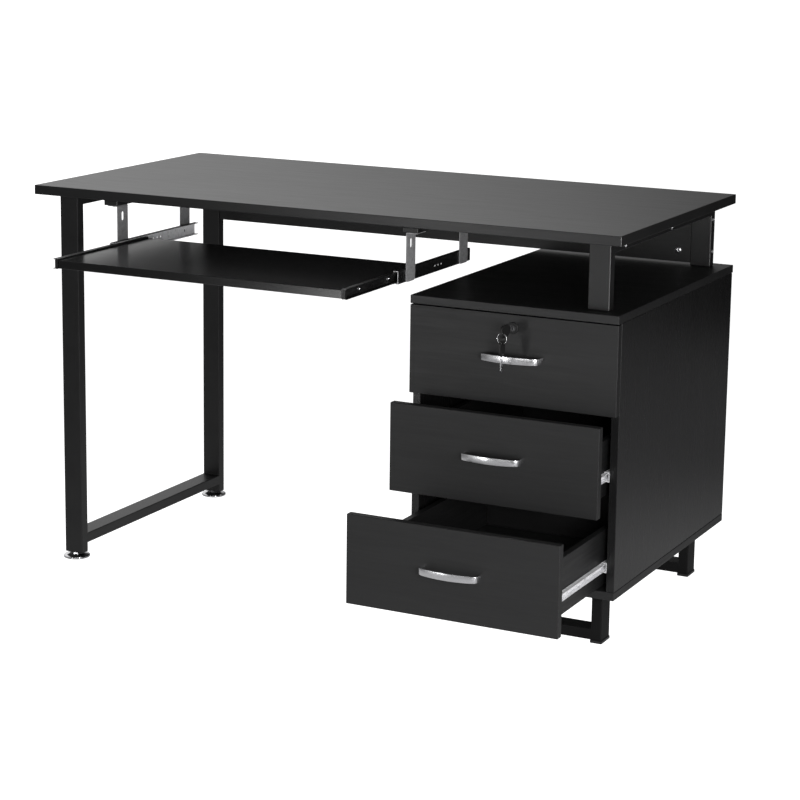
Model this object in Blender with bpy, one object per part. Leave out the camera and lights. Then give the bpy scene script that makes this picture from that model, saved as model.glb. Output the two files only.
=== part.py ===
"""Computer desk with a sliding keyboard tray and a three-drawer cabinet.

Metres, +Z up, floor at z = 0. Width runs along X, the front faces -Y. Numbers below are
millimetres in the desk's own frame, whose origin is the middle of the desktop on the floor;
mm() shifts them along Y so that the whole part, as it stands at rest, is centred on the origin.
At rest the top drawer is shut, the middle and bottom drawers and the keyboard tray are partly out.
"""
import math

import bmesh
import bpy
from mathutils import Vector

for old in list(bpy.data.objects):
    bpy.data.objects.remove(old, do_unlink=True)

# ---- driving dimensions, millimetres ----
DESK_W, DESK_D, DESK_H, DESK_T = 1200.0, 600.0, 740.0, 18.0
GAP = 0.3                       # clearance left between pieces that touch
UNDER = DESK_H - DESK_T         # underside of the desktop

TUBE, FLAT = 20.0, 40.0         # steel tube, narrow and wide side
LEG_X0 = -562.0                 # left leg frame, outer face
POST_X1 = 570.0                 # right post frame, outer face
LEG_Y = 270.0                   # front and rear faces of both frames are at -LEG_Y and +LEG_Y
LEG_FOOT = 10.0                 # leg tubes stop this high, the levelling feet fill the rest
LOW_RAIL = (28.0, 48.0)         # height of the left frame's lower rail
FOOT_R, FOOT_STEM_R = 26.0, 5.0

PANEL_T, PANEL_Z0 = 15.0, 608.0   # rear panel between the frames

CAB_X0, CAB_X1 = 205.0, 600.0
CAB_Z0, CAB_Z1 = 94.0, 603.0
BOARD = 15.0
CAR_Y0, CAR_Y1 = -284.0, 296.0    # carcass sides, behind the drawer fronts
FRAME_X = (239.0, 566.0)          # cabinet foot frames
FRAME_Y = (-250.0, 200.0)         # front face of each foot frame, each FLAT deep
FRAME_RAIL = (5.0, 25.0)

FRONT_H, FRONT_T, FRONT_GAP = 160.0, 15.0, 3.0
TOP_FRONT_Z1 = 586.0
OPEN = {"top": 0.0, "middle": 74.0, "bottom": 234.0}   # how far each drawer is out at rest
SIDE_T, SIDE_Z = 12.0, (14.0, 114.0)    # drawer sides, heights above the front's lower edge
BOX_L = 489.5                           # drawer box length behind the front
BASE_Z = (16.0, 22.0)
SLIDE_Z, SLIDE_H, SLIDE_L, SLIDE_W = 52.0, 18.0, 450.0, 13.3
SHEET = 1.2                             # slide sheet thickness

HANDLE_X, HANDLE_DZ, HANDLE_H, HANDLE_T = 404.0, 4.0, 13.0, 3.0
HANDLE_PATH = [(-54.5, 0.3), (-54.5, 6.0), (-53.6, 11.5), (-50.0, 16.6), (-42.0, 19.4),
               (-22.0, 22.3), (0.0, 23.5), (22.0, 22.3), (42.0, 19.4), (50.0, 16.6),
               (53.6, 11.5), (54.5, 6.0), (54.5, 0.3)]

TRAY_X0, TRAY_X1, TRAY_D, TRAY_T, TRAY_Z1 = -404.0, 176.0, 300.0, 15.0, 640.5
TRAY_Y0 = -504.0                        # tray front edge at rest
TRAY_MID = (TRAY_X0 + TRAY_X1) / 2
TSLIDE_C, TSLIDE_H, TSLIDE_L = 634.0, 24.0, 300.0
TSLIDE_Y0 = -318.0                      # front end of the fixed members
BRACKET_Y = {"front": (-289.0, -255.0), "rear": (-68.0, -34.0)}
BRACKET_Z = (622.0, 712.0)
PACKER_Y = (-296.0, -28.0)

LOCK_Z = 563.0
KEY_HEAD = (-350.0, -314.0)             # key head, front and rear ends
KEY_PIVOT_Y = -345.0                    # where the ring passes through the key's slot
RING_R, RING_WIRE = 9.0, 0.7
RING_PIVOT = 7.25                       # the ring swings this far below the lock's axis, in the
RING_DROP = 3.9                         # rim of the key's head, and its middle hangs this far lower

Y_FRONT = -(DESK_D / 2 + OPEN["bottom"] + 23.5 + HANDLE_T / 2)    # bow of the bottom handle
SHIFT_Y = -(Y_FRONT + DESK_D / 2) / 2

# ---- materials ----
BLACK_BOARD = ("black_laminate", (0.030, 0.030, 0.032), 0.0, 0.45)
BLACK_STEEL = ("black_coated_steel", (0.018, 0.018, 0.020), 0.0, 0.42)
ZINC = ("zinc_plated_steel", (0.62, 0.63, 0.64), 1.0, 0.32)
CHROME = ("chrome", (0.80, 0.80, 0.82), 1.0, 0.10)
DARK_ZINC = ("dark_slide_steel", (0.09, 0.09, 0.10), 0.9, 0.38)
BLACK_PLASTIC = ("black_plastic", (0.012, 0.012, 0.013), 0.0, 0.35)


def mm(x, y, z):
    """Desk-frame millimetres to part metres."""
    return Vector((x, y + SHIFT_Y, z)) / 1000.0


def paint(obj, finish):
    """Give the object a material of its own."""
    label, rgb, metallic, rough = finish
    material = bpy.data.materials.new(obj.name + "_" + label)
    material.use_nodes = True
    shader = material.node_tree.nodes["Principled BSDF"]
    shader.inputs["Base Color"].default_value = (*rgb, 1.0)
    shader.inputs["Metallic"].default_value = metallic
    shader.inputs["Roughness"].default_value = rough
    material.diffuse_color = (*rgb, 1.0)
    obj.data.materials.append(material)


def make(name, verts, faces, finish, smooth=False, origin=None):
    """One closed mesh object from desk-frame points; origin is its pivot point."""
    pivot = mm(*origin) if origin else Vector((0, 0, 0))
    mesh = bpy.data.meshes.new(name)
    mesh.from_pydata([mm(*v) - pivot for v in verts], [], faces)
    work = bmesh.new()
    work.from_mesh(mesh)
    bmesh.ops.recalc_face_normals(work, faces=work.faces)
    work.to_mesh(mesh)
    work.free()
    obj = bpy.data.objects.new(name, mesh)
    obj.location = pivot
    bpy.context.scene.collection.objects.link(obj)
    if smooth:
        mesh.polygons.foreach_set("use_smooth", [True] * len(mesh.polygons))
        mesh.set_sharp_from_angle(angle=math.radians(35))
    paint(obj, finish)
    return obj


def soften(obj, width, segments=1):
    """Round the sharp edges of a board or tube, width in millimetres."""
    bevel = obj.modifiers.new("edge", "BEVEL")
    bevel.width = width / 1000.0
    bevel.segments = segments
    bevel.limit_method = "ANGLE"
    bevel.angle_limit = math.radians(40)
    bevel.use_clamp_overlap = True
    return obj


def blocks(name, cuts, solid, finish, edge=0.0, segments=1, origin=None):
    """A body made of the cells of a grid: cuts are the X, Y and Z grid lines, and solid(i, j, k)
    says which cells are filled. Only the outside faces are made, so the body is closed."""
    xs, ys, zs = cuts
    size = (len(xs) - 1, len(ys) - 1, len(zs) - 1)

    def full(cell):
        return all(0 <= c < n for c, n in zip(cell, size)) and solid(*cell)

    index, verts, faces = {}, [], []

    def corner(i, j, k):
        key = (i, j, k)
        if key not in index:
            index[key] = len(verts)
            verts.append((xs[i], ys[j], zs[k]))
        return index[key]

    for i in range(size[0]):
        for j in range(size[1]):
            for k in range(size[2]):
                if not full((i, j, k)):
                    continue
                for axis in range(3):
                    a, b = [n for n in range(3) if n != axis]
                    for step in (0, 1):
                        beside = [i, j, k]
                        beside[axis] += 2 * step - 1
                        if full(tuple(beside)):
                            continue
                        quad = []
                        for da, db in ((0, 0), (1, 0), (1, 1), (0, 1)):
                            point = [i, j, k]
                            point[axis] += step
                            point[a] += da
                            point[b] += db
                            quad.append(corner(*point))
                        faces.append(quad)
    obj = make(name, verts, faces, finish, origin=origin)
    if edge:
        soften(obj, edge, segments)
    return obj


def board(name, x, y, z, finish=BLACK_BOARD, edge=0.8, segments=1, origin=None):
    """A plain board between two corners."""
    return blocks(name, (x, y, z), lambda i, j, k: True, finish, edge, segments, origin)


def turned(name, profile, centre, axis, finish, sides=32, ring=False, origin=None):
    """A turned body: profile is (radius, height) pairs along axis "Z" or "Y" from centre.
    A solid one starts and ends at radius 0; a ring's profile closes on itself."""
    def place(r, h, turn):
        c, s = r * math.cos(turn), r * math.sin(turn)
        off = (c, s, h) if axis == "Z" else (c, h, s)
        return tuple(p + o for p, o in zip(centre, off))

    verts, rows = [], []
    for r, h in profile:
        if r == 0:
            rows.append([len(verts)] * sides)
            verts.append(place(0, h, 0))
        else:
            rows.append(list(range(len(verts), len(verts) + sides)))
            verts.extend(place(r, h, 2 * math.pi * n / sides) for n in range(sides))
    faces = []
    pairs = list(zip(rows, rows[1:])) + ([(rows[-1], rows[0])] if ring else [])
    for low, high in pairs:
        for n in range(sides):
            m = (n + 1) % sides
            quad = [low[n], low[m], high[m], high[n]]
            faces.append([v for p, v in enumerate(quad) if v not in quad[:p]])
    return make(name, verts, faces, finish, smooth=True, origin=origin)


def smooth_path(points, steps=4):
    """A curve through the given points, steps pieces between each two."""
    out = []
    for n in range(len(points) - 1):
        p0 = points[max(n - 1, 0)]
        p1, p2 = points[n], points[n + 1]
        p3 = points[min(n + 2, len(points) - 1)]
        for s in range(steps):
            t = s / steps
            out.append(tuple(0.5 * (2 * b + (c - a) * t + (2 * a - 5 * b + 4 * c - d) * t * t
                                    + (3 * b - a - 3 * c + d) * t ** 3)
                             for a, b, c, d in zip(p0, p1, p2, p3)))
    out.append(tuple(points[-1]))
    return out


def cutter(name, x, y, z):
    """A hidden box used only to cut or join another body."""
    obj = board(name, x, y, z, edge=0.0)
    obj.hide_render = True
    obj.display_type = "WIRE"
    return obj


def combine(obj, tool, operation):
    """Join the tool to the body or cut it away."""
    step = obj.modifiers.new(operation.lower(), "BOOLEAN")
    step.operation = operation
    step.solver = "EXACT"
    step.object = tool


# ---- desktop, left leg frame, right post frame, rear panel ----
board("desktop", (-DESK_W / 2, DESK_W / 2), (-DESK_D / 2, DESK_D / 2), (UNDER, DESK_H),
      edge=1.2, segments=2)

foot_x = LEG_X0 + FLAT / 2
foot_ys = (-LEG_Y + TUBE / 2, LEG_Y - TUBE / 2)
hole = FOOT_STEM_R + 0.5
leg_xs = (LEG_X0, foot_x - hole, foot_x + hole, LEG_X0 + FLAT)
leg_ys = (-LEG_Y, foot_ys[0] - hole, foot_ys[0] + hole, -LEG_Y + TUBE,
          LEG_Y - TUBE, foot_ys[1] - hole, foot_ys[1] + hole, LEG_Y)
leg_zs = (LEG_FOOT, LOW_RAIL[0], LOW_RAIL[1], UNDER - TUBE, UNDER - GAP)
# the foot's stem reaches up into a socket that is open only at the bottom
blocks("left_leg_frame", (leg_xs, leg_ys, leg_zs),
       lambda i, j, k: (j != 3 or k in (1, 3)) and not (k == 0 and i == 1 and j in (1, 5)),
       BLACK_STEEL, edge=1.5, segments=2)
for side, foot_y in zip(("front", "rear"), foot_ys):
    turned("left_foot_" + side,
           [(0, 0), (FOOT_R - 1.5, 0), (FOOT_R, 1.2), (FOOT_R, 3.0), (FOOT_R - 3, 5.2),
            (12, 7.4), (11, 9.4), (FOOT_STEM_R, 9.7), (FOOT_STEM_R, 27.0), (0, 27.5)],
           (foot_x, foot_y, 0), "Z", CHROME)

post_x = (POST_X1 - FLAT, POST_X1)
blocks("right_post_frame",
       (post_x, (-LEG_Y, -LEG_Y + TUBE, LEG_Y - TUBE, LEG_Y),
        (CAB_Z1 + GAP, UNDER - TUBE, UNDER - GAP)),
       lambda i, j, k: j != 1 or k == 1, BLACK_STEEL, edge=1.5, segments=2)

panel_y = LEG_Y - TUBE / 2 - PANEL_T / 2
board("rear_panel", (LEG_X0 + FLAT + GAP, POST_X1 - FLAT - GAP), (panel_y, panel_y + PANEL_T),
      (PANEL_Z0, UNDER - GAP))

# ---- cabinet carcass and its two foot frames ----
# the slot under the front of the top board takes the lock's cam
slot_x, slot_y = (HANDLE_X - 25, HANDLE_X + 8), (-281.5, -273.5)
blocks("cabinet_top_board",
       ((CAB_X0, *slot_x, CAB_X1), (-DESK_D / 2, *slot_y, DESK_D / 2),
        (CAB_Z1 - BOARD, CAB_Z1 - 6, CAB_Z1)),
       lambda i, j, k: not (i == 1 and j == 1 and k == 0), BLACK_BOARD, edge=0.8)
wall_z = (CAB_Z0 + BOARD + GAP, CAB_Z1 - BOARD - GAP)
board("cabinet_bottom_board", (CAB_X0, CAB_X1), (CAR_Y0, CAR_Y1), (CAB_Z0, CAB_Z0 + BOARD))
board("cabinet_left_side", (CAB_X0, CAB_X0 + BOARD), (CAR_Y0, CAR_Y1), wall_z)
board("cabinet_right_side", (CAB_X1 - BOARD, CAB_X1), (CAR_Y0, CAR_Y1), wall_z)
board("cabinet_back", (CAB_X0 + BOARD + GAP, CAB_X1 - BOARD - GAP), (CAR_Y1 - 15, CAR_Y1 - 3),
      wall_z)

for side, y0 in zip(("front", "rear"), FRAME_Y):
    blocks(side + "_foot_frame",
           ((FRAME_X[0], FRAME_X[0] + TUBE, FRAME_X[1] - TUBE, FRAME_X[1]), (y0, y0 + FLAT),
            (0.0, *FRAME_RAIL, CAB_Z0 - GAP)),
           lambda i, j, k: i != 1 or k == 1, BLACK_STEEL, edge=1.5, segments=2)


# ---- slides: a fixed channel and a moving one that runs inside it ----
def channel(name, web, edge, y, centre, half, finish, origin=None):
    """A channel along Y. web is the X of the web's outer face, edge the X of the flanges' ends,
    half its half height. The flanges point from the web to the edge."""
    toward = 1 if edge > web else -1
    xs = sorted((web, web + toward * SHEET, edge))
    web_cell = 0 if toward > 0 else 1
    zs = (centre - half, centre - half + SHEET, centre + half - SHEET, centre + half)
    return blocks(name, (xs, y, zs), lambda i, j, k: i == web_cell or k != 1, finish,
                  origin=origin)


# ---- drawers ----
levels = {}
for number, level in enumerate(("top", "middle", "bottom")):
    levels[level] = TOP_FRONT_Z1 - FRONT_H - number * (FRONT_H + FRONT_GAP)

inner_x = (CAB_X0 + BOARD, CAB_X1 - BOARD)
box_x = (inner_x[0] + SLIDE_W, inner_x[1] - SLIDE_W)
for level, z0 in levels.items():
    out = OPEN[level]
    face = -DESK_D / 2 - out                     # front surface of this drawer's front
    back = face + FRONT_T + GAP                  # where the box starts
    pivot = (HANDLE_X, face, z0 + FRONT_H / 2)
    name = "drawer_" + level
    front = board(name + "_front", (CAB_X0, CAB_X1), (face, face + FRONT_T), (z0, z0 + FRONT_H),
                  origin=pivot)
    side_z = (z0 + SIDE_Z[0], z0 + SIDE_Z[1])
    box_y = (back, back + BOX_L)
    board(name + "_left_side", (box_x[0], box_x[0] + SIDE_T), box_y, side_z, edge=0.5, origin=pivot)
    board(name + "_right_side", (box_x[1] - SIDE_T, box_x[1]), box_y, side_z, edge=0.5,
          origin=pivot)
    between = (box_x[0] + SIDE_T + GAP, box_x[1] - SIDE_T - GAP)
    board(name + "_back", between, (box_y[1] - SIDE_T, box_y[1]), (z0 + BASE_Z[0], side_z[1]),
          edge=0.5, origin=pivot)
    board(name + "_base", between, (back, box_y[1] - SIDE_T - GAP),
          (z0 + BASE_Z[0], z0 + BASE_Z[1]), edge=0.0, origin=pivot)

    middle = z0 + SLIDE_Z
    fixed_y = (CAR_Y0 + 1.0, CAR_Y0 + 1.0 + SLIDE_L)
    moving_y = (fixed_y[0] - out, fixed_y[1] - out)
    for hand, wall, toward, box_face in (("left", inner_x[0], 1, box_x[0]),
                                         ("right", inner_x[1], -1, box_x[1])):
        channel(f"{name}_fixed_slide_{hand}", wall + toward * GAP, wall + toward * 9.5, fixed_y,
                middle, SLIDE_H / 2, ZINC)
        channel(f"{name}_moving_slide_{hand}", box_face - toward * GAP, box_face - toward * 9.5,
                moving_y, middle, SLIDE_H / 2 - SHEET - 1.5, ZINC, origin=pivot)

    # bow handle: a flat strap whose ends turn back to the drawer front
    path = smooth_path(HANDLE_PATH)
    verts, faces = [], []
    lift = z0 + FRONT_H / 2 + HANDLE_DZ
    edge = 0.8
    ring = [(-HANDLE_T / 2, -HANDLE_H / 2 + edge), (-HANDLE_T / 2 + edge, -HANDLE_H / 2),
            (HANDLE_T / 2 - edge, -HANDLE_H / 2), (HANDLE_T / 2, -HANDLE_H / 2 + edge),
            (HANDLE_T / 2, HANDLE_H / 2 - edge), (HANDLE_T / 2 - edge, HANDLE_H / 2),
            (-HANDLE_T / 2 + edge, HANDLE_H / 2), (-HANDLE_T / 2, HANDLE_H / 2 - edge)]
    for n, (px, py) in enumerate(path):
        ax, ay = path[max(n - 1, 0)]
        bx, by = path[min(n + 1, len(path) - 1)]
        length = math.hypot(bx - ax, by - ay)
        nx, ny = -(by - ay) / length, (bx - ax) / length
        for across, up in ring:
            verts.append((HANDLE_X + px + nx * across, face - (py + ny * across), lift + up))
    count = len(ring)
    for n in range(len(path) - 1):
        for m in range(count):
            a, b = n * count + m, n * count + (m + 1) % count
            faces.append([a, b, b + count, a + count])
    faces.append(list(range(count)))
    faces.append(list(range(len(verts) - count, len(verts))))
    make(name + "_handle", verts, faces, CHROME, smooth=True, origin=pivot)

# ---- lock in the top drawer: barrel, cam on its plug, key, ring and spare key ----
face = -DESK_D / 2
front = bpy.data.objects["drawer_top_front"]
bore = turned("cut_lock_bore", [(0, -5), (9.3, -5), (9.3, 25), (0, 25)],
              (HANDLE_X, face, LOCK_Z), "Y", BLACK_PLASTIC)
bore.hide_render = True
bore.display_type = "WIRE"
combine(front, bore, "DIFFERENCE")
front.modifiers.move(len(front.modifiers) - 1, 0)

turned("lock_barrel",
       [(6.4, -3.0), (9.6, -3.0), (10.6, -2.2), (10.6, -GAP), (9.0, -GAP), (9.0, 20.0),
        (6.4, 20.0)],
       (HANDLE_X, face, LOCK_Z), "Y", BLACK_PLASTIC, ring=True,
       origin=(HANDLE_X, face, LOCK_Z))
plug = turned("lock_cam", [(0, -2.6), (5.6, -2.6), (6.0, -2.2), (6.0, 23.4), (0, 23.4)],
              (HANDLE_X, face, LOCK_Z), "Y", ZINC, origin=(HANDLE_X, face, LOCK_Z))
combine(plug, cutter("cut_cam_arm", (HANDLE_X - 30, HANDLE_X + 5.0), (face + 21.4, face + 23.4),
                     (LOCK_Z - 5.5, LOCK_Z + 5.5)), "UNION")
combine(plug, cutter("cut_keyway", (HANDLE_X - 1.4, HANDLE_X + 1.4), (face - 5, face + 15),
                     (LOCK_Z - 4.6, LOCK_Z + 4.6)), "DIFFERENCE")


def key(name, long_cuts, across, along_y, finish, origin):
    """A flat key. Its head has a slot across it for the ring; long_cuts are the lines along its
    length: head end, slot, slot, head's shoulder, blade end."""
    wide = (-11.0, -4.2, -3.5, 3.5, 4.2, 11.0)
    thick = (-1.7, -1.0, 1.0, 1.7)

    def solid_at(t, w, n):
        if n == 3:
            return t == 1 and w in (1, 2, 3)               # blade
        return not (n == 1 and w == 2)                     # head, less its slot

    xs = [HANDLE_X + t for t in thick]
    if along_y:
        return blocks(name, (xs, long_cuts, [across + w for w in wide]),
                      lambda i, j, k: solid_at(i, k, j), finish, edge=0.5, origin=origin)
    zs = sorted(long_cuts)
    return blocks(name, (xs, [across + w for w in wide], zs),
                  lambda i, j, k: solid_at(i, j, len(zs) - 2 - k), finish, edge=0.5,
                  origin=origin)


axis_point = (HANDLE_X, KEY_PIVOT_Y, LOCK_Z - RING_PIVOT)
ring_z = LOCK_Z - RING_PIVOT - RING_DROP
key("lock_key", (KEY_HEAD[0], KEY_PIVOT_Y - 2.2, KEY_PIVOT_Y + 2.2, KEY_HEAD[1], face + 13.0),
    LOCK_Z, True, BLACK_PLASTIC, (HANDLE_X, face, LOCK_Z))
hang_z = ring_z - RING_R
key("spare_key", (hang_z + 4.8, hang_z + 2.2, hang_z - 2.2, hang_z - 22.0, hang_z - 49.0),
    KEY_PIVOT_Y, False, BLACK_PLASTIC, axis_point)

verts, faces = [], []
around, thick = 36, 10
for n in range(around):
    turn = 2 * math.pi * n / around
    for m in range(thick):
        roll = 2 * math.pi * m / thick
        r = RING_R + RING_WIRE * math.cos(roll)
        verts.append((HANDLE_X + r * math.sin(turn), KEY_PIVOT_Y + RING_WIRE * math.sin(roll),
                      ring_z + r * math.cos(turn)))
for n in range(around):
    for m in range(thick):
        a, b = n * thick + m, n * thick + (m + 1) % thick
        c, d = ((n + 1) % around) * thick + m, ((n + 1) % around) * thick + (m + 1) % thick
        faces.append([a, b, d, c])
make("key_ring", verts, faces, CHROME, smooth=True, origin=axis_point)

# ---- keyboard tray, its slides, hanging brackets and the strips they screw to ----
tray_pivot = (TRAY_MID, TRAY_Y0, TRAY_Z1)
board("keyboard_tray", (TRAY_X0, TRAY_X1), (TRAY_Y0, TRAY_Y0 + TRAY_D),
      (TRAY_Z1 - TRAY_T, TRAY_Z1), origin=tray_pivot)
for hand, sign in (("right", 1), ("left", -1)):
    def at(distance, sign=sign):
        """X at this distance from the tray's middle, on this side."""
        return TRAY_MID + sign * distance

    half_w = (TRAY_X1 - TRAY_X0) / 2
    channel("tray_moving_slide_" + hand, at(half_w + GAP), at(half_w + 9.8),
            (TRAY_Y0 - 1.0, TRAY_Y0 - 1.0 + TSLIDE_L), TSLIDE_C, TSLIDE_H / 2 - SHEET - 1.5,
            DARK_ZINC, origin=tray_pivot)
    channel("tray_fixed_slide_" + hand, at(half_w + 13.3), at(half_w + 4.0),
            (TSLIDE_Y0, TSLIDE_Y0 + TSLIDE_L), TSLIDE_C, TSLIDE_H / 2, DARK_ZINC)
    plate, fold = half_w + 13.6, half_w + 15.6
    for place, (y0, y1) in BRACKET_Y.items():
        centre = (y0 + y1) / 2
        xs = sorted((at(plate), at(fold), at(fold + 20.0)))
        plate_cell = 0 if sign > 0 else 1
        blocks(f"tray_bracket_{hand}_{place}",
               (xs, (y0, centre - 5, centre + 5, y1),
                (BRACKET_Z[0], 682.0, 700.0, BRACKET_Z[1] - 2.0, BRACKET_Z[1])),
               lambda i, j, k, p=plate_cell: (k == 3 if i != p else not (j == 1 and k == 1)),
               DARK_ZINC, edge=0.3)
    xs = sorted((at(plate - 3.0), at(plate + 26.0)))
    board("tray_strip_" + hand, xs, PACKER_Y, (BRACKET_Z[1] + GAP, UNDER - GAP))
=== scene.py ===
"""Looks, light and camera for the computer desk with a keyboard tray and three drawers.

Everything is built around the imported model, in metres, +Z up. Boards, tubes and panels are the
model's own nodes with a procedural finish. Slides, brackets, handles, keys, ring and levelling
feet are finer pieces that stand for their nodes, and screws, cam fittings and glides are added.
The named sizes of pieces are in millimetres, and MM turns them into metres.
"""
import math

import bmesh
import bpy
from mathutils import Matrix, Vector


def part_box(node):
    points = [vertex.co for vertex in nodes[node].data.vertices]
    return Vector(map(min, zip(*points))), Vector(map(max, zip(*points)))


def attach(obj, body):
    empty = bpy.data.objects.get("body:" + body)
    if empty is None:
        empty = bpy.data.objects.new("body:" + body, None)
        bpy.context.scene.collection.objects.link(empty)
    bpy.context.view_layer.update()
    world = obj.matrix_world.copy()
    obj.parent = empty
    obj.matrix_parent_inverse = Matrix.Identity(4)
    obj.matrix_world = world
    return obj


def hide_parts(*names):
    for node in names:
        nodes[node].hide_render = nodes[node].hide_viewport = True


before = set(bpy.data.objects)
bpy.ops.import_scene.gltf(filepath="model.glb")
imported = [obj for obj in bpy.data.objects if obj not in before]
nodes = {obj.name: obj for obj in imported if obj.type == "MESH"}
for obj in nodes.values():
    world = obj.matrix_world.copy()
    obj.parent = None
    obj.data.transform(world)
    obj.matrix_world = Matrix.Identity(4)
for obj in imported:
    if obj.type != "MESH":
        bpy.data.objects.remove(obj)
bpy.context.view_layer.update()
scene = bpy.context.scene
MM = 0.001
COOL = 1.02                          # how much bluer than neutral the greys are
LEVELS = ("top", "middle", "bottom")
HANDS = ("left", "right")


# ---------------------------------------------------------------- materials
class Finish:
    """A material whose nodes are added one by one; links are given as sockets."""

    def __init__(self, name):
        self.material = bpy.data.materials.new(name)
        self.material.use_nodes = True
        self.tree = self.material.node_tree
        self.shader = self.tree.nodes["Principled BSDF"]
        self.coords = self.add("TexCoord").outputs["Object"]

    def add(self, kind, inputs=None, **settings):
        node = self.tree.nodes.new("ShaderNode" + kind)
        for key, value in settings.items():
            setattr(node, key, value)
        for key, value in (inputs or {}).items():
            self.set(node.inputs[key], value)
        return node

    def set(self, socket, value):
        if isinstance(value, bpy.types.NodeSocket):
            self.tree.links.new(value, socket)
        else:
            socket.default_value = value

    def shade(self, **values):
        for key, value in values.items():
            self.set(self.shader.inputs[key.replace("_", " ")], value)

    def noise(self, scale, stretch=(1, 1, 1), detail=4.0, rough=0.55, twist=0.0):
        """Noise in metres along the object, stretched along each axis."""
        place = self.add("Mapping", {"Vector": self.coords, "Scale": stretch})
        return self.add("TexNoise", {"Vector": place.outputs["Vector"], "Scale": scale,
                                     "Detail": detail, "Roughness": rough,
                                     "Distortion": twist}).outputs["Fac"]

    def span(self, value, low, high, out_low, out_high):
        return self.add("MapRange", {"Value": value, "From Min": low, "From Max": high,
                                     "To Min": out_low, "To Max": out_high}).outputs["Result"]

    def tones(self, value, stops):
        """A faintly cool grey by value; stops are (place, grey)."""
        ramp = self.add("ValToRGB", {"Fac": value})
        band = ramp.color_ramp
        while len(band.elements) < len(stops):
            band.elements.new(0.5)
        for element, (place, tone) in zip(band.elements, stops):
            element.position = place
            element.color = (tone, tone, tone * COOL, 1.0)
        return ramp.outputs["Color"]

    def mix(self, amount, first, second):
        node = self.add("MixRGB", {"Fac": amount})
        self.set(node.inputs["Color1"], first)
        self.set(node.inputs["Color2"], second)
        return node.outputs["Color"]

    def edges(self, radius):
        """1 along sharp edges and 0 on flat faces."""
        rounded = self.add("Bevel", {"Radius": radius}, samples=4).outputs["Normal"]
        flat = self.add("NewGeometry").outputs["Normal"]
        same = self.add("VectorMath", operation="DOT_PRODUCT")
        self.set(same.inputs[0], rounded)
        self.set(same.inputs[1], flat)
        return self.span(same.outputs["Value"], 0.995, 0.80, 0.0, 1.0)

    def relief(self, height, strength, distance, under=None):
        inputs = {"Height": height, "Strength": strength, "Distance": distance}
        if under is not None:
            inputs["Normal"] = under
        return self.add("Bump", inputs).outputs["Normal"]


def laminate(name, along, dark=0.0100, light=0.0210, rough=(0.36, 0.50), wear=0.045):
    """Black woodgrain laminate: fine pores and streaks along one axis, edge banding worn paler."""
    f = Finish(name)
    stretch = [1.0, 1.0, 1.0]
    stretch["XYZ".index(along)] = 0.045
    streaks = f.noise(190.0, stretch, 7.0, 0.62, 0.6)
    cloud = f.noise(7.0, stretch, 3.0, 0.5, 0.9)
    pores = f.noise(1500.0, stretch, 2.0, 0.5)
    grain = f.tones(streaks, [(0.30, dark), (0.55, (dark + light) / 2), (0.78, light)])
    drift = f.tones(cloud, [(0.30, dark * 0.9), (0.75, light * 0.95)])
    body = f.mix(0.55, grain, drift)
    edge = f.edges(0.0011)
    scuff = f.add("Math", operation="MULTIPLY")
    f.set(scuff.inputs[0], edge)
    f.set(scuff.inputs[1], f.span(f.noise(60.0), 0.42, 0.66, 0.15, 0.75))
    f.shade(Base_Color=f.mix(scuff.outputs[0], body, (wear, wear, wear * COOL, 1.0)))
    f.shade(Roughness=f.span(streaks, 0.25, 0.8, rough[1], rough[0]))
    fine = f.relief(pores, 0.20, 0.00005)
    f.shade(Normal=f.relief(streaks, 0.22, 0.00007, fine))
    f.shade(IOR=1.47)
    return f.material


def powder(name, dark=0.0085, light=0.0150, rough=(0.34, 0.46), ior=1.5):
    """Black powder coat: orange peel, slightly glossy, thin and paler on sharp edges."""
    f = Finish(name)
    peel = f.noise(950.0, detail=2.0)
    speck = f.noise(2600.0, detail=1.0)
    cloud = f.noise(14.0, detail=3.0)
    body = f.tones(cloud, [(0.3, dark), (0.75, light)])
    edge = f.edges(0.0012)
    thin = f.span(edge, 0.0, 1.0, 0.0, 0.55)
    f.shade(Base_Color=f.mix(thin, body, (0.050, 0.050, 0.052, 1.0)))
    f.shade(Roughness=f.span(peel, 0.3, 0.7, rough[0], rough[1]))
    f.shade(Normal=f.relief(peel, 0.35, 0.00010, f.relief(speck, 0.12, 0.00003)))
    f.shade(IOR=ior)
    return f.material


def chrome(name, along="X", tone=(0.60, 0.80), rough=(0.10, 0.22)):
    """Plated steel with faint polishing lines along one axis."""
    f = Finish(name)
    stretch = [1.0, 1.0, 1.0]
    stretch["XYZ".index(along)] = 0.03
    lines = f.noise(2400.0, stretch, 3.0, 0.6)
    haze = f.noise(90.0, detail=4.0)
    f.shade(Base_Color=f.tones(haze, [(0.3, tone[0]), (0.7, tone[1])]), Metallic=1.0)
    f.shade(Roughness=f.span(haze, 0.3, 0.7, rough[0], rough[1]))
    f.shade(Normal=f.relief(lines, 0.10, 0.00002))
    return f.material


def zinc(name, tone=(0.42, 0.66), rough=(0.30, 0.44), metal=1.0):
    """Zinc-plated sheet: soft spangle, rolling lines along Y and small dull marks."""
    f = Finish(name)
    flakes = f.add("TexVoronoi", {"Vector": f.coords, "Scale": 420.0}).outputs["Color"]
    grey = f.add("RGBToBW", {"Color": flakes}).outputs["Val"]
    lines = f.noise(1300.0, (1.0, 0.04, 1.0), 3.0)
    marks = f.noise(120.0, detail=5.0)
    plate = f.tones(grey, [(0.1, tone[0]), (0.9, tone[1])])
    dull = f.span(marks, 0.52, 0.72, 0.0, 0.55)
    f.shade(Base_Color=f.mix(dull, plate, (tone[0] * 0.6,) * 3 + (1.0,)), Metallic=metal)
    f.shade(Roughness=f.span(grey, 0.0, 1.0, rough[0], rough[1]))
    f.shade(Normal=f.relief(lines, 0.18, 0.00003, f.relief(marks, 0.08, 0.00005)))
    return f.material


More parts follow.
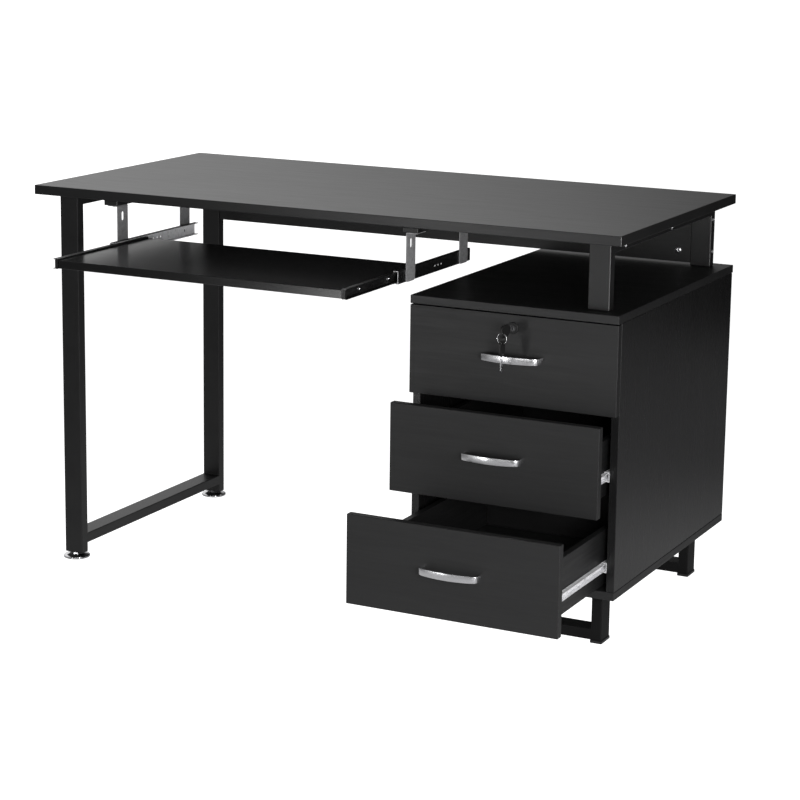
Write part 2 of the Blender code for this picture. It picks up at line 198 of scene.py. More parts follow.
def plastic(name, tone=0.010, rough=(0.32, 0.46)):
    """Moulded black plastic with a fine spark-eroded texture."""
    f = Finish(name)
    fine = f.noise(1900.0, detail=2.0)
    cloud = f.noise(45.0, detail=3.0)
    f.shade(Base_Color=f.tones(cloud, [(0.3, tone * 0.8), (0.7, tone * 1.4)]))
    f.shade(Roughness=f.span(fine, 0.3, 0.7, rough[0], rough[1]))
    f.shade(Normal=f.relief(fine, 0.22, 0.00005))
    return f.material


def hardboard(name):
    """Thin painted fibreboard with a pebbled face."""
    f = Finish(name)
    fibres = f.noise(520.0, (1.0, 1.0, 0.5), 5.0, 0.6, 0.4)
    cloud = f.noise(9.0, detail=3.0)
    f.shade(Base_Color=f.mix(0.5, f.tones(fibres, [(0.3, 0.010), (0.75, 0.024)]),
                             f.tones(cloud, [(0.3, 0.011), (0.7, 0.019)])))
    f.shade(Roughness=f.span(fibres, 0.3, 0.7, 0.50, 0.66))
    f.shade(Normal=f.relief(fibres, 0.35, 0.00012))
    return f.material


top_board = laminate("desktop_laminate", "X", 0.0145, 0.0215, (0.31, 0.38))
board_x = laminate("laminate_grain_across", "X")
tray_board = laminate("tray_laminate", "X", 0.0080, 0.0150, (0.15, 0.22))
board_y = laminate("laminate_grain_deep", "Y")
board_z = laminate("laminate_grain_upright", "Z", 0.0080, 0.0130, (0.25, 0.31))
front_x = laminate("drawer_front_laminate", "X", 0.0085, 0.0185, (0.38, 0.50))
coat = powder("black_powder_coat")
foot_coat = powder("foot_frame_coat", 0.0030, 0.0060, (0.46, 0.60), 1.26)
bright = chrome("satin_chrome", "X", (0.84, 0.90), (0.20, 0.26))
foot_chrome = chrome("foot_chrome", "Z", (0.55, 0.78), (0.08, 0.18))
slide_plate = zinc("slide_zinc_plate", (0.86, 0.95), (0.36, 0.50), 0.05)
plug_plate = zinc("lock_plug_nickel", (0.05, 0.10), (0.30, 0.42), 0.8)
# painted dark reflection: a darkened copy of the zinc for the tray slides, standing for the dark
# cabinet mirrored in them; tray_inner below keeps the bright zinc
tray_dark_reflection_plate = zinc("tray_slide_painted_dark_reflection", (0.050, 0.100), (0.26, 0.40), 0.9)
tray_inner = zinc("tray_slide_zinc_inside", (0.80, 0.92), (0.34, 0.50), 0.05)
bracket_plate = zinc("bracket_dark_plate", (0.30, 0.42), (0.34, 0.50), 0.2)
screw_plate = zinc("screw_zinc_plate", (0.55, 0.78), (0.22, 0.34))
key_steel = chrome("key_nickel", "Z", (0.36, 0.50), (0.22, 0.34))
black_plastic = plastic("black_plastic")
lock_plastic = plastic("lock_plastic", 0.004, (0.50, 0.66))
fibre = hardboard("painted_fibreboard")

FINISHES = [
    (("desktop",), top_board),
    (("rear_panel", "cabinet_top_board"), board_x),
    (("keyboard_tray",), tray_board),
    (("cabinet_bottom_board",), board_y),
    (("cabinet_left_side", "cabinet_right_side"), board_z),
    (("cabinet_back",), fibre),
    (("left_leg_frame", "right_post_frame", "tray_strip_left", "tray_strip_right"), coat),
    (("front_foot_frame", "rear_foot_frame"), foot_coat),
    (("lock_barrel",), lock_plastic),
    (("lock_cam",), plug_plate),
]
for level in LEVELS:
    name = "drawer_" + level
    FINISHES += [((name + "_front",), front_x),
                 ((name + "_left_side", name + "_right_side"), board_y),
                 ((name + "_back",), board_x), ((name + "_base",), fibre)]
for names, material in FINISHES:
    for name in names:
        mesh = nodes[name].data
        mesh.materials.clear()
        mesh.materials.append(material)


# ---------------------------------------------------------------- mesh helpers
def centre_of(node):
    low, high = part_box(node)
    return (low + high) / 2


def piece(name, verts, faces, material, smooth=30.0):
    """A closed mesh with its normals outward, shaded smooth below an angle in degrees."""
    mesh = bpy.data.meshes.new(name)
    mesh.from_pydata([Vector(v) for v in verts], [], faces)
    work = bmesh.new()
    work.from_mesh(mesh)
    bmesh.ops.recalc_face_normals(work, faces=work.faces)
    work.to_mesh(mesh)
    work.free()
    obj = bpy.data.objects.new(name, mesh)
    scene.collection.objects.link(obj)
    mesh.materials.append(material)
    shade(obj, smooth)
    return obj


def shade(obj, angle=30.0):
    obj.data.polygons.foreach_set("use_smooth", [True] * len(obj.data.polygons))
    obj.data.set_sharp_from_angle(angle=math.radians(angle))


def loft(rings):
    """Verts and faces of a skin over rings of equal length, closed at both ends."""
    count = len(rings[0])
    verts = [v for ring in rings for v in ring]
    faces = []
    for n in range(len(rings) - 1):
        a, b = n * count, (n + 1) * count
        for m in range(count):
            k = (m + 1) % count
            faces.append((a + m, a + k, b + k, b + m))
    faces += [tuple(range(count)), tuple(range(len(verts) - count, len(verts)))]
    return verts, faces


def frame_of(axis):
    """The axis as a unit vector and two directions square to it."""
    axis = Vector(axis).normalized()
    side = Vector((0, 0, 1)) if abs(axis.z) < 0.9 else Vector((1, 0, 0))
    across = axis.cross(side).normalized()
    return axis, across, axis.cross(across)


def lathe(name, profile, centre, axis, material, sides, smooth=35.0):
    """A turned piece: profile is (radius, height) in millimetres along the axis."""
    axis, across, up = frame_of(axis)
    rings = []
    for r, h in profile:
        r = max(r, 0.01)
        rings.append([Vector(centre) + (across * math.cos(t) + up * math.sin(t)) * r * MM
                      + axis * h * MM for t in
                      (2 * math.pi * n / sides for n in range(sides))])
    return piece(name, *loft(rings), material, smooth)


def joined(name, parts):
    """One object from several, keeping each one's materials."""
    bpy.ops.object.select_all(action="DESELECT")
    for part in parts:
        part.select_set(True)
    bpy.context.view_layer.objects.active = parts[0]
    if len(parts) > 1:
        bpy.ops.object.join()
    parts[0].name = name
    parts[0].data.name = name
    return parts[0]


def cut(obj, tools):
    """Cuts the tools away and leaves a plain mesh."""
    tool = joined("cut_tool", tools)
    step = obj.modifiers.new("cut", "BOOLEAN")
    step.operation, step.solver, step.object = "DIFFERENCE", "EXACT", tool
    graph = bpy.context.evaluated_depsgraph_get()
    mesh = bpy.data.meshes.new_from_object(obj.evaluated_get(graph))
    obj.modifiers.clear()
    old, obj.data = obj.data, mesh
    bpy.data.meshes.remove(old)
    bpy.data.objects.remove(tool)
    shade(obj)
    return obj


def prism(name, outline, axis, low, high, material):
    """An outline in the plane square to an axis, between two places on it. The outline's points
    are the other two coordinates in X, Y, Z order."""
    index = "XYZ".index(axis)

    def place(point, at):
        values = list(point)
        values.insert(index, at)
        return Vector(values)

    rings = [[place(p, at) for p in outline] for at in (low, high)]
    return piece(name, *loft(rings), material)


def pill(centre, half_long, radius, steps=8, upright=True):
    """An outline of a slot with round ends; half_long is to the end of the slot."""
    straight = max(half_long - radius, 0.0)
    points = []
    for end in (1, -1):
        for n in range(steps + 1):
            t = math.pi * n / steps - (0 if end == 1 else math.pi)
            x, y = radius * math.cos(t), radius * math.sin(t) + end * straight
            points.append((centre[0] + x, centre[1] + y) if upright
                          else (centre[0] + y, centre[1] + x))
    return points


def ribbon(path, thickness):
    """The outline of a sheet of even thickness whose outer face follows the path."""
    inner = []
    for n, point in enumerate(path):
        before = path[max(n - 1, 0)]
        after = path[min(n + 1, len(path) - 1)]
        first = Vector(point) - Vector(before) if n else Vector(after) - Vector(point)
        second = Vector(after) - Vector(point) if n < len(path) - 1 else first
        first, second = first.normalized(), second.normalized()
        bend = (first + second).normalized()
        reach = thickness / max(bend.dot(first), 0.5)
        inner.append((point[0] - bend.y * reach, point[1] + bend.x * reach))
    return list(path) + inner[::-1]


def arc(centre, radius, start, stop, steps=4):
    """Points along part of a circle, from one angle to another in degrees."""
    return [(centre[0] + radius * math.cos(math.radians(start + (stop - start) * n / steps)),
             centre[1] + radius * math.sin(math.radians(start + (stop - start) * n / steps)))
            for n in range(steps + 1)]


def rounded_rect(cx, cy, half_x, half_y, radius, steps=4):
    """The outline of a rectangle with round corners."""
    points = []
    for sx, sy, start in ((1, 1, 0), (-1, 1, 90), (-1, -1, 180), (1, -1, 270)):
        points += arc((cx + sx * (half_x - radius), cy + sy * (half_y - radius)), radius,
                      start, start + 90, steps)
    return points


def pan_head(name, centre, out, radius, height, material=screw_plate):
    """A screw head standing on a surface at centre and pointing out, with a cross recess. Its
    radius and height are in millimetres."""
    dome = [(0.0, height), (radius * 0.45, height * 0.98), (radius * 0.80, height * 0.82),
            (radius * 0.97, height * 0.50), (radius, height * 0.12), (radius, 0.0), (0.0, 0.0)]
    head = lathe(name, dome[::-1], centre, out, material, 24)
    axis, across, up = frame_of(out)
    tools = []
    for one, two in ((across, up), (up, across)):
        rings = []
        for depth, grow in ((height * 0.45, 0.55), (height + 0.4, 1.0)):
            base = Vector(centre) + axis * depth * MM
            a, b = one * radius * 0.62 * grow * MM, two * radius * 0.15 * MM
            rings.append([base + a + b, base - a + b, base - a - b, base + a - b])
        tools.append(piece("slot", *loft(rings), material))
    for tool in tools:
        cut(head, [tool])
    return head


def tube(name, path, radius, material, sides=12):
    """A round wire along a path of points, with flat ends."""
    rings = []
    for n, point in enumerate(path):
        ahead = (path[min(n + 1, len(path) - 1)] - path[max(n - 1, 0)]).normalized()
        side = Vector((0, 1, 0)) - ahead * ahead.y
        side.normalize()
        up = ahead.cross(side)
        rings.append([point + (side * math.cos(t) + up * math.sin(t)) * radius
                      for t in (2 * math.pi * k / sides for k in range(sides))])
    return piece(name, *loft(rings), material, 60.0)


def stand_in(obj, body, slot, *names):
    """The piece rides on its body and stands for the nodes. The slot is not used."""
    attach(obj, body)
    if names:
        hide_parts(*names)


# ---------------------------------------------------------------- slides
# half length, radius in millimetres, and whether it stands upright
HOLE_SHAPES = {"slot": (4.5, 2.2, False), "tall": (4.0, 2.0, True), "round": (2.1, 2.1, True)}
SHEET = 1.2                          # thickness of the slides' steel
LIP = 1.9                            # how far a fixed member's flange turns in
BEND, LIP_BEND = 1.4, 0.8            # corner radii
RIDGE = 0.35                         # depth of the ball track in the flange
STOP_FROM, STOP_TO = 0.5, 7          # along the slide, from its front end


def slide(node, body, slot, material, holes, screws, lip, front_stop=False, inside=None):
    """A rolled channel with round corners, holes along its web, screw heads in some of them, a
    plastic stop at its front end if asked, and its inner faces in another finish if given.
    web_side says which side of the node the web is on. Holes are (place, kind) and screws are
    places, in millimetres from the front end."""
    low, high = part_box(node)
    web_high = web_side[node]
    height = (high.z - low.z) / 2
    width = high.x - low.x
    mid = (low.z + high.z) / 2
    t = SHEET * MM
    r = BEND * MM
    # section with u from the web's outer face to the flange ends
    top = arc((r, height - r), r, 180, 90)
    ridge = [(width * 0.30, height), (width * 0.42, height - RIDGE * MM),
             (width * 0.74, height - RIDGE * MM), (width * 0.86, height)]
    if lip:
        tip = arc((width - LIP_BEND * MM, height - LIP_BEND * MM), LIP_BEND * MM, 90, 0, 3)
        tip += [(width, height - lip * MM)]
    else:
        tip = [(width, height)]
    half = top + ridge + tip
    path = [(u, -v) for u, v in half[::-1]] + half
    outline = ribbon(path, -t)

    def place(u, v):
        return (high.x - u if web_high else low.x + u, mid + v)

    bar = prism(node + "_detailed", [place(u, v) for u, v in outline], "Y",
                low.y, high.y, material)
    outer, inner = (high.x, high.x - t) if web_high else (low.x, low.x + t)
    tools = []
    for along, kind in holes:
        half_long, radius, upright = HOLE_SHAPES[kind]
        shape = pill((low.y + along * MM, mid), half_long * MM, radius * MM, upright=upright)
        tools.append(prism("hole", shape, "X", min(outer, inner) - MM, max(outer, inner) + MM,
                           material))
    cut(bar, tools)
    if inside:
        bar.data.materials.append(inside)
        for face in bar.data.polygons:
            u = high.x - face.center.x if web_high else face.center.x - low.x
            if u > t * 0.9 and abs(face.center.z - mid) < height - t * 0.9:
                face.material_index = 1
    parts = [bar]
    out = (-1, 0, 0) if web_high else (1, 0, 0)
    for along in screws:
        parts.append(pan_head(node + "_screw", (inner, low.y + along * MM, mid), out, 3.4, 1.5))
    if front_stop:
        reach = inner + (-width * 0.55 if web_high else width * 0.55)
        block = rounded_rect((inner + reach) / 2, mid, abs(reach - inner) / 2,
                             height - 1.6 * MM, 1.2 * MM)
        parts.append(prism(node + "_stop", block, "Y", low.y + STOP_FROM * MM,
                           low.y + STOP_TO * MM, black_plastic))
    stand_in(joined(node + "_detailed", parts), body, slot, node)


web_side = {}       # node: True where the web's outer face is on the +X side
for level in LEVELS:
    for hand in HANDS:
        web_side[f"drawer_{level}_fixed_slide_{hand}"] = hand == "right"
        web_side[f"drawer_{level}_moving_slide_{hand}"] = hand == "left"
for hand in HANDS:
    web_side["tray_fixed_slide_" + hand] = hand == "right"
    web_side["tray_moving_slide_" + hand] = hand == "left"

FIXED_HOLES = [(20, "round"), (37, "slot"), (128, "tall"), (150, "round"), (256, "slot"),
               (320, "round"), (420, "tall")]
MOVING_HOLES = [(14, "round"), (35, "slot"), (163, "tall"), (200, "round"), (288, "slot"),
                (400, "round"), (432, "tall")]
TRAY_FIXED_HOLES = [(12, "tall"), (26, "tall"), (52, "round"), (150, "round"), (163, "round"),
                    (176, "round"), (262, "round")]
TRAY_MOVING_HOLES = [(14, "tall"), (60, "round"), (110, "slot"), (170, "round"), (214, "slot"),
                     (270, "round")]
for level in LEVELS:
    for hand in HANDS:
        slide(f"drawer_{level}_fixed_slide_{hand}", "frame", "slide_zinc", slide_plate,
              FIXED_HOLES, (37, 256, 420), LIP)
        slide(f"drawer_{level}_moving_slide_{hand}", "drawer_" + level, "slide_zinc",
              slide_plate, MOVING_HOLES, (35, 163, 432), 0)
# the tray slides take the painted dark reflection, and the fixed members' inner faces the bright
# zinc
for hand in HANDS:
    slide("tray_fixed_slide_" + hand, "frame", "tray_slide_steel", tray_dark_reflection_plate,
          TRAY_FIXED_HOLES, (), LIP, inside=tray_inner)
    slide("tray_moving_slide_" + hand, "tray", "tray_slide_steel", tray_dark_reflection_plate,
          TRAY_MOVING_HOLES, (60, 170), 0, front_stop=True)

# ---------------------------------------------------------------- tray brackets
BRACKET_SHEET, BRACKET_BEND = 2, 3.2            # thickness and bend radius
BRACKET_CORNER = 6                              # radius of the plate's lower corners
SLOT_Z, SLOT_HALF, SLOT_RADIUS = 691, 9, 4      # the slot's height, half length and radius
FLANGE_SCREW, FLANGE_SCREWS_Y = 13, (-9, 9)     # from the plate's face, and from its middle
for hand in HANDS:
    for place in ("front", "rear"):
        node = f"tray_bracket_{hand}_{place}"
        low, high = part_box(node)
        mid_y = (low.y + high.y) / 2
        sign = 1 if hand == "right" else -1
        inside = low.x if sign > 0 else high.x          # plate face nearest the tray
        reach = high.x - low.x
        t, r, round_off = BRACKET_SHEET * MM, BRACKET_BEND * MM, BRACKET_CORNER * MM
        path = [(0.0, low.z), (0.0, high.z - r)]
        path += arc((r, high.z - r), r, 180, 90, 5)[1:] + [(reach, high.z)]
        outline = [(inside + sign * u, z) for u, z in ribbon(path, -t)]
        plate = prism(node + "_detailed", outline, "Y", low.y, high.y, bracket_plate)
        tools = [prism("hole", pill((mid_y, SLOT_Z * MM), SLOT_HALF * MM, SLOT_RADIUS * MM),
                       "X", low.x - MM, high.x + MM, bracket_plate)]
        for side in (-1, 1):
            edge_y = mid_y + side * (high.y - low.y) / 2
            corner = [(edge_y + side * MM, low.z - MM), (edge_y - side * round_off, low.z - MM)]
            corner += [(edge_y - side * round_off + side * round_off * math.sin(a),
                        low.z + round_off - round_off * math.cos(a))
                       for a in (math.pi / 2 * n / 5 for n in range(6))]
            corner += [(edge_y + side * MM, low.z + round_off)]
            tools.append(prism("corner", corner, "X", low.x - MM, high.x + MM, bracket_plate))
        cut(plate, tools)
        parts = [plate]
        flange_x = inside + sign * FLANGE_SCREW * MM
        for dy in FLANGE_SCREWS_Y:
            parts.append(pan_head(node + "_screw", (flange_x, mid_y + dy * MM, high.z - t),
                                  (0, 0, -1), 3.4, 1.8))
        stand_in(joined(node + "_detailed", parts), "frame", "bracket_steel", node)

# ---------------------------------------------------------------- handles
STRAP = 1.5                          # half the strap's thickness
STRAP_EDGE = 0.7                     # radius along its edges
# half of the bow: share of its half width, share of its depth
BOW = [(1.000, 0.000), (1.000, 0.220), (0.985, 0.440), (0.925, 0.650), (0.780, 0.775),
       (0.600, 0.860), (0.400, 0.930), (0.200, 0.980), (0.000, 1.000)]
for level in LEVELS:
    node = f"drawer_{level}_handle"
    low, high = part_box(node)
    centre = (low + high) / 2
    half_h = (high.z - low.z) / 2
    foot, bow = high.y, low.y
    half_w = (high.x - low.x) / 2
    t = STRAP * MM
    depth = foot - bow - t
    knots = [(-u * (half_w - t), v * depth) for u, v in BOW]
    knots += [(-u, v) for u, v in knots[-2::-1]]
    path = []                                           # a Catmull-Rom curve through the knots
    for n in range(len(knots) - 1):
        p = [Vector(knots[max(n - 1, 0)]), Vector(knots[n]), Vector(knots[n + 1]),
             Vector(knots[min(n + 2, len(knots) - 1)])]
        for s in range(5):
            k = s / 5
            path.append(0.5 * (2 * p[1] + (p[2] - p[0]) * k
                               + (2 * p[0] - 5 * p[1] + 4 * p[2] - p[3]) * k * k
                               + (3 * p[1] - p[0] - 3 * p[2] + p[3]) * k ** 3))
    path.append(Vector(knots[-1]))
    section = rounded_rect(0, 0, t, half_h, STRAP_EDGE * MM, 3)
    rings = []
    for n, point in enumerate(path):
        ahead = (path[min(n + 1, len(path) - 1)] - path[max(n - 1, 0)]).normalized()
        normal = Vector((-ahead.y, ahead.x))
        # the strap is tallest at its middle and a little lower where it meets the front
        waist = 1.0 - 0.16 * (abs(point.x) / half_w) ** 3
        rings.append([(centre.x + point.x + normal.x * across,
                       foot - (point.y + normal.y * across), centre.z + up * waist)
                      for across, up in section])
    strap = piece(node + "_detailed", *loft(rings), bright, 40.0)
    stand_in(strap, "drawer_" + level, "handle_chrome", node)

    # machine screws that hold it, seen on the inside of the front
    front_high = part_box(f"drawer_{level}_front")[1]
    heads = []
    for side in (-1, 1):
        x = centre.x + side * (half_w - t)
        heads.append(pan_head("head", (x, front_high.y, centre.z), (0, 1, 0), 4.2, 2.2))
    stand_in(joined(f"drawer_{level}_handle_screws", heads), "drawer_" + level, "slide_zinc")

# ---------------------------------------------------------------- drawer box fittings
CAP = [(0, 0), (7.2, 0), (7.5, 0.25), (7.2, 0.5), (4.6, 0.5), (4.2, 0.3), (0, 0.3)]
CAP_BEHIND, CAP_ABOVE, CAP_BELOW = 24, 28, 22   # from the side's front, lower and upper edges
for level in LEVELS:
    caps = []
    for hand, out in (("left", 1), ("right", -1)):
        low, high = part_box(f"drawer_{level}_{hand}_side")
        face = high.x if out > 0 else low.x
        y = low.y + CAP_BEHIND * MM
        for z in (low.z + CAP_ABOVE * MM, high.z - CAP_BELOW * MM):
            caps.append(lathe("cap", CAP, (face, y, z), (out, 0, 0), screw_plate, 28))
            caps.append(pan_head("hub", (face + out * 0.25 * MM, y, z), (out, 0, 0), 2.6, 0.45))
    stand_in(joined(f"drawer_{level}_cam_fittings", caps), "drawer_" + level, "slide_zinc")


# ---------------------------------------------------------------- keys and split ring
# half of the head's outline and the teeth, each as (length, half width) in millimetres
KEY_HEAD = [(0.0, 5.6), (0.7, 8.0), (2.2, 10.0), (4.6, 11.0), (16.0, 11.0), (19.5, 10.2),
            (22.5, 7.8), (24.4, 5.4), (26.0, 4.6)]
KEY_TEETH = [(2.5, 4.2), (5.0, 4.2), (6.4, 2.9), (7.8, 2.9), (9.0, 4.0), (10.6, 2.3),
             (12.0, 2.3), (13.4, 3.6), (15.0, 2.7), (16.4, 2.7), (17.8, 4.0)]


def key(node, place, shoulder, tip, slot_at):
    """A moulded head with a slot for the ring and a nickel blade with teeth and grooves. The
    head runs from 0 to the shoulder and the blade to the tip. Place turns (length, width,
    thickness) in millimetres into a point."""
    outline = [(t, -w) for t, w in KEY_HEAD] + KEY_HEAD[::-1]
    scale = shoulder / KEY_HEAD[-1][0]

    def slab(name, points, thick, bevel, material):
        middle = Vector((sum(p[0] for p in points), sum(p[1] for p in points))) / len(points)
        rings = []
        for n, inset in ((-thick, bevel), (-thick + bevel, 0), (thick - bevel, 0),
                         (thick, bevel)):
            ring = []
            for t, w in points:
                away = (Vector((t, w)) - middle)
                away = away * (1 - inset / max(away.length, 1.0))
                ring.append(place(middle.x + away.x, middle.y + away.y, n))
            rings.append(ring)
        return piece(name, *loft(rings), material, 30.0)

    head = slab(node + "_head", [(t * scale, w) for t, w in outline], 1.7, 0.6, lock_plastic)
    opening = [(t + slot_at, w) for w, t in pill((0, 0), 3.45, 2.15, 6, False)]
    rings = [[place(t, w, n) for t, w in opening] for n in (-3, 3)]
    cut(head, [piece("hole", *loft(rings), black_plastic)])
    length = tip - shoulder
    stretch = (length - 3.5) / 18.5                     # of the teeth, to end before the tip
    edge = [(shoulder - 3.0, -4.0), (tip - 2.2, -4.0), (tip, -1.0), (tip, 1.0)]
    edge += [(shoulder + t * stretch, w) for t, w in KEY_TEETH[::-1]]
    edge += [(shoulder - 3.0, 4.0)]
    blade = slab(node + "_blade", edge, 0.9, 0.2, key_steel)
    grooves = []
    for side in (-1, 1):
        w0, w1 = (-2.4, -1.2) if side > 0 else (-0.2, 0.9)
        rings = [[place(t, w, side * n) for w, n in ((w0, 0.5), (w1, 0.5), (w1, 2.0), (w0, 2.0))]
                 for t in (shoulder + 0.8, tip + 2)]
        grooves.append(piece("groove", *loft(rings), key_steel))
    cut(blade, grooves)
    return joined(node + "_detailed", [head, blade])


low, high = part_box("lock_key")
mid_z, front_y = (low.z + high.z) / 2, low.y
mid_x = centre_of("lock_barrel").x
turned_key = key("lock_key", lambda t, w, n: Vector((mid_x + n * MM, front_y + t * MM,
                                                     mid_z + w * MM)),
                 36.0, (high.y - low.y) / MM, 5.0)
stand_in(turned_key, "lock", "key_black", "lock_key")
low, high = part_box("spare_key")
hang_y, top_z = (low.y + high.y) / 2, high.z
hung_key = key("spare_key", lambda t, w, n: Vector((mid_x + n * MM, hang_y + w * MM,
                                                    top_z - t * MM)),
               26.8, (high.z - low.z) / MM, 4.8)
stand_in(hung_key, "key_ring", "key_black", "spare_key")

ring_low, ring_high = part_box("key_ring")
ring_centre = centre_of("key_ring")
ring_r = (ring_high.z - ring_low.z) / 2 - 0.7 * MM
WIRE, RISE = 0.56, 1.15              # the ring's wire radius and its rise from end to end
turns, steps = 2.0, 96
coil = []
for n in range(steps + 1):
    a = 2 * math.pi * turns * n / steps
    lift = (n / steps - 0.5) * RISE * MM
    coil.append(Vector((ring_centre.x + ring_r * math.sin(a), ring_centre.y + lift,
                        ring_centre.z + ring_r * math.cos(a))))
stand_in(tube("key_ring_split", coil, WIRE * MM, bright), "key_ring", "ring_steel", "key_ring")

# ---------------------------------------------------------------- levelling feet and glides
NUT_LOW, NUT_HIGH, NUT_RADIUS = 7.4, 9.8, 8.4   # heights above the floor, and to the corners
THREADS, THREAD_PITCH, ROOT, CREST = 14, 1.2, 4.3, 4.95
PAD_HEIGHT, PAD_PROUD = 4.4, 1.2                # of the glides under the foot frames
for place in ("front", "rear"):
    node = "left_foot_" + place
    low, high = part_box(node)
    centre = Vector(((low.x + high.x) / 2, (low.y + high.y) / 2, low.z))
    radius = (high.x - low.x) / 2 / MM
    disc = [(0, 0.6), (radius - 5, 0.6), (radius - 4, 0.0), (radius - 1.4, 0.0),
            (radius - 0.3, 0.5), (radius, 1.6), (radius, 3.0), (radius - 0.5, 4.0),
            (radius - 2.2, 4.8), (radius - 7, 5.9), (14.5, 7.0), (13.6, 7.5), (0, 7.5)]
    plate = lathe("disc", disc, centre, (0, 0, 1), foot_chrome, 64, 28.0)
    corners = [(centre.x + NUT_RADIUS * MM * math.cos(math.radians(60 * n + 15)),
                centre.y + NUT_RADIUS * MM * math.sin(math.radians(60 * n + 15)))
               for n in range(6)]
    nut = prism("nut", corners, "Z", NUT_LOW * MM, NUT_HIGH * MM, foot_chrome)
    thread = []
    for n in range(THREADS):
        z = NUT_HIGH + n * THREAD_PITCH
        thread += [(ROOT, z), (CREST, z + 0.6)]
    stem = lathe("stem", [(0, NUT_LOW), (ROOT, NUT_LOW)] + thread + [(ROOT, 26.8), (0, 27.0)],
                 centre, (0, 0, 1), foot_chrome, 24)
    stand_in(joined(node + "_detailed", [plate, nut, stem]), "frame", "foot_chrome", node)

for place in ("front", "rear"):
    low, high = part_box(place + "_foot_frame")
    tube_w = 20 * MM
    pads = []
    for x0 in (low.x, high.x - tube_w):
        outline = rounded_rect(x0 + tube_w / 2, (low.y + high.y) / 2,
                               tube_w / 2 + PAD_PROUD * MM,
                               (high.y - low.y) / 2 + PAD_PROUD * MM, 2.2 * MM)
        pads.append(prism("pad", outline, "Z", low.z, low.z + PAD_HEIGHT * MM, black_plastic))
    stand_in(joined(place + "_frame_glides", pads), "frame", place + "_foot_frame")

# ---------------------------------------------------------------- screws on the frame
RAIL_SCREWS_Y = (-203, 28)           # from the rail's middle
RAIL_SCREW_DROP, POST_SCREW_IN = 13, 11
SCREWS_Z = (694, 632)                # the rear right post's screws
PANEL_IN, BOLT_Z = 25, 631           # from the rear panel's ends, and its lower screws
PIN_IN, PIN_END, PINS = 9, 18, 6     # the back's pins: from its sides, from its ends, how many
rail_low, rail_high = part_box("right_post_frame")
panel_low, panel_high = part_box("rear_panel")
mid_y = (rail_low.y + rail_high.y) / 2
rail_screws = [pan_head("screw",
                        (rail_high.x, mid_y + dy * MM, rail_high.z - RAIL_SCREW_DROP * MM),
                        (1, 0, 0), 3.6, 2.0) for dy in RAIL_SCREWS_Y]
rail_screws += [pan_head("screw", (rail_high.x, rail_high.y - POST_SCREW_IN * MM, z * MM),
                         (1, 0, 0), 3.6, 2.0) for z in SCREWS_Z]
stand_in(joined("right_frame_screws", rail_screws), "frame", "slide_zinc")
bolt = pan_head("bolt", (panel_high.x - PANEL_IN * MM, panel_low.y, BOLT_Z * MM), (0, -1, 0),
                6.4, 3.0)
stand_in(joined("rear_panel_bolt", [bolt]), "frame", "slide_zinc")
nuts = []
for x in (panel_low.x + PANEL_IN * MM, panel_high.x - PANEL_IN * MM):
    for z in (BOLT_Z, SCREWS_Z[0]):
        nuts.append(pan_head("nut", (x, panel_high.y, z * MM), (0, 1, 0), 5.0, 2.2,
                             black_plastic))
stand_in(joined("rear_panel_back_screws", nuts), "frame", "slide_zinc")

back_low, back_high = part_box("cabinet_back")
pins = []
for x in (back_low.x + PIN_IN * MM, back_high.x - PIN_IN * MM):
    for n in range(PINS):
        z = back_low.z + PIN_END * MM
        z += n * (back_high.z - back_low.z - 2 * PIN_END * MM) / (PINS - 1)
        pins.append(pan_head("pin", (x, back_high.y, z), (0, 1, 0), 2.6, 0.9))
stand_in(joined("cabinet_back_screws", pins), "frame", "slide_zinc")

# ---------------------------------------------------------------- floor, light, camera
# The floor and the world are white where the camera sees them and dimmer for all other light,
# so that the black boards have something darker to mirror.
FLOOR_HALF = 2.6
white = Finish("studio_floor")
ground = white.noise(3.0, detail=2.0)
white.shade(Base_Color=white.tones(ground, [(0.3, 0.34), (0.7, 0.37)]), Roughness=0.85,
            Specular_IOR_Level=0.2)
camera_ray = white.add("LightPath").outputs["Is Camera Ray"]
reach = white.add("VectorMath", {"Vector": white.coords}, operation="LENGTH").outputs["Value"]
bounce = white.span(reach, 0.40, 1.45, 0.32, 0.006)
glow = white.add("Math", operation="MULTIPLY_ADD")
white.set(glow.inputs[0], camera_ray)
white.set(glow.inputs[1], 1.0)
white.set(glow.inputs[2], bounce)
white.shade(Emission_Color=(1.0, 1.0, 1.0, 1.0), Emission_Strength=glow.outputs[0])
corners = [(x * FLOOR_HALF, y * FLOOR_HALF, -0.0002)
           for x, y in ((-1, -1), (1, -1), (1, 1), (-1, 1))]
floor = piece("studio_floor", corners, [(0, 1, 2, 3)], white.material)

world = bpy.data.worlds.new("studio")
scene.world = world
world.use_nodes = True
tree = world.node_tree
links = tree.links
direction = tree.nodes.new("ShaderNodeTexCoord").outputs["Generated"]
split = tree.nodes.new("ShaderNodeSeparateXYZ")
links.new(direction, split.inputs[0])


def world_span(value, low, high, out_low, out_high):
    """Eases from out_low to out_high as the value goes from low to high."""
    node = tree.nodes.new("ShaderNodeMapRange")
    node.interpolation_type = "SMOOTHSTEP"
    links.new(value, node.inputs["Value"])
    for key, number in (("From Min", low), ("From Max", high), ("To Min", out_low),
                        ("To Max", out_high)):
        node.inputs[key].default_value = number
    return node.outputs["Result"]


def world_math(operation, first, second):
    """Each input is a socket or a number."""
    node = tree.nodes.new("ShaderNodeMath")
    node.operation = operation
    for socket, value in zip(node.inputs, (first, second)):
        if isinstance(value, bpy.types.NodeSocket):
            links.new(value, socket)
        else:
            socket.default_value = value
    return node.outputs[0]


# a bright sky behind on the left, which the desktop mirrors
sideways = world_span(split.outputs["X"], -0.66, -0.16, 1.0, 0.03)
behind = world_span(split.outputs["Y"], -0.3, 0.5, 0.22, 1.0)
upward = world_span(split.outputs["Z"], -0.25, 0.0, 0.10, 1.0)
back_sky = world_math("MULTIPLY", world_math("MULTIPLY", sideways, behind), upward)
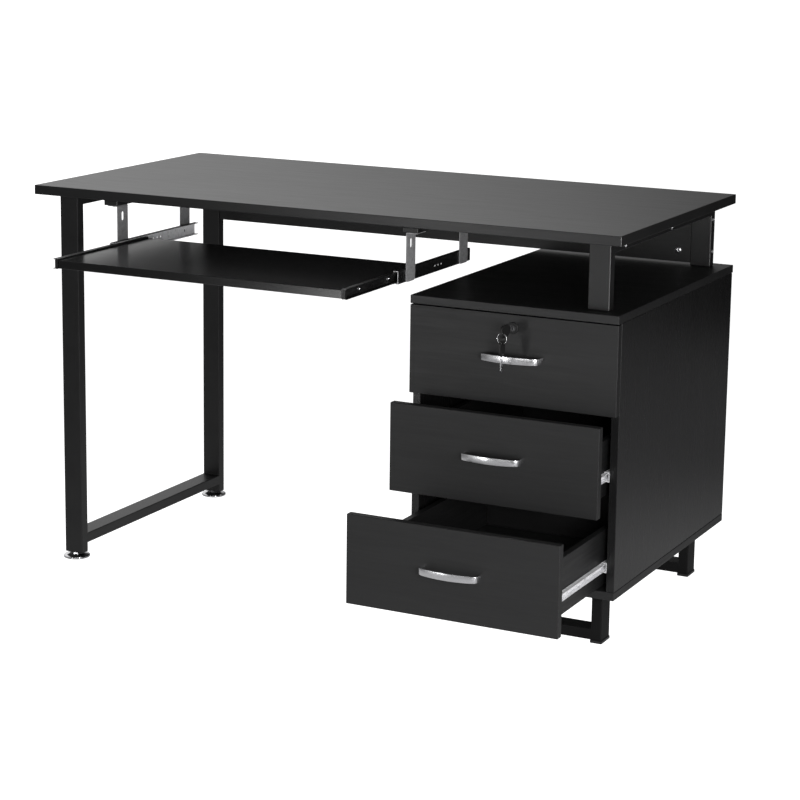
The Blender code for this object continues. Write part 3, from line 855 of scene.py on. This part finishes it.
# and a dimmer one in front on the right
right = world_span(split.outputs["X"], 0.05, 0.50, 0.0, 1.0)
ahead = world_span(split.outputs["Y"], -0.05, 0.50, 1.0, 0.0)
above = world_span(split.outputs["Z"], -0.12, 0.12, 0.0, 0.45)
front_sky = world_math("MULTIPLY", world_math("MULTIPLY", right, ahead), above)
studio = world_math("ADD", back_sky, front_sky)
seen = tree.nodes.new("ShaderNodeLightPath").outputs["Is Camera Ray"]
strength = world_math("ADD", world_math("MULTIPLY", studio, 0.95), seen)
background = tree.nodes["Background"]
background.inputs["Color"].default_value = (1.0, 1.0, 1.0, 1.0)
links.new(strength, background.inputs["Strength"])


def softbox(name, place, aim, size, power):
    """A soft rectangular light, aimed at a point."""
    light = bpy.data.lights.new(name, "AREA")
    light.shape, light.size, light.size_y, light.energy = "RECTANGLE", size[0], size[1], power
    obj = bpy.data.objects.new(name, light)
    scene.collection.objects.link(obj)
    obj.location = place
    obj.rotation_euler = (Vector(aim) - Vector(place)).to_track_quat("-Z", "Y").to_euler()
    obj.visible_camera = False


softbox("overhead", (-1.0, 1.6, 2.6), (0.0, 0.0, 0.4), (2.2, 1.4), 14.0)
softbox("strip_front", (-0.78, -2.4, 0.30), (0.35, -0.3, 0.32), (0.26, 0.80), 5.0)
softbox("low_front", (0.30, -2.7, 0.66), (0.30, 0.0, 0.64), (0.8, 0.22), 1.8)
softbox("floor_front", (-0.1, -1.75, 0.03), (0.15, -0.6, 0.75), (1.7, 1.0), 1.2)
softbox("right_front", (2.3, -1.2, 0.5), (0.55, -0.3, 0.3), (0.8, 0.8), 6.0)
softbox("tray_height", (1.3, -1.4, 0.62), (-0.1, -0.1, 0.6), (0.4, 0.4), 15.0)

camera_data = bpy.data.cameras.new("camera")
camera = bpy.data.objects.new("camera", camera_data)
scene.collection.objects.link(camera)
scene.camera = camera
FOCAL, IMAGE_SIDE, SENSOR = 2293.56, 800.0, 36.0        # pixels, pixels, millimetres
camera_data.sensor_width = SENSOR
camera_data.lens = FOCAL / IMAGE_SIDE * SENSOR
camera_data.shift_y = -0.10
camera_data.clip_start, camera_data.clip_end = 0.1, 60.0
camera.location = (1.97276, -3.74658, 1.34283)
yaw, pitch, roll = math.radians(26.56), math.radians(11.144), math.radians(0.769)
camera.rotation_euler = (Matrix.Rotation(yaw, 3, "Z")
                         @ Matrix.Rotation(math.pi / 2 - pitch, 3, "X")
                         @ Matrix.Rotation(roll, 3, "Z")).to_euler()
scene.view_settings.view_transform = "Standard"
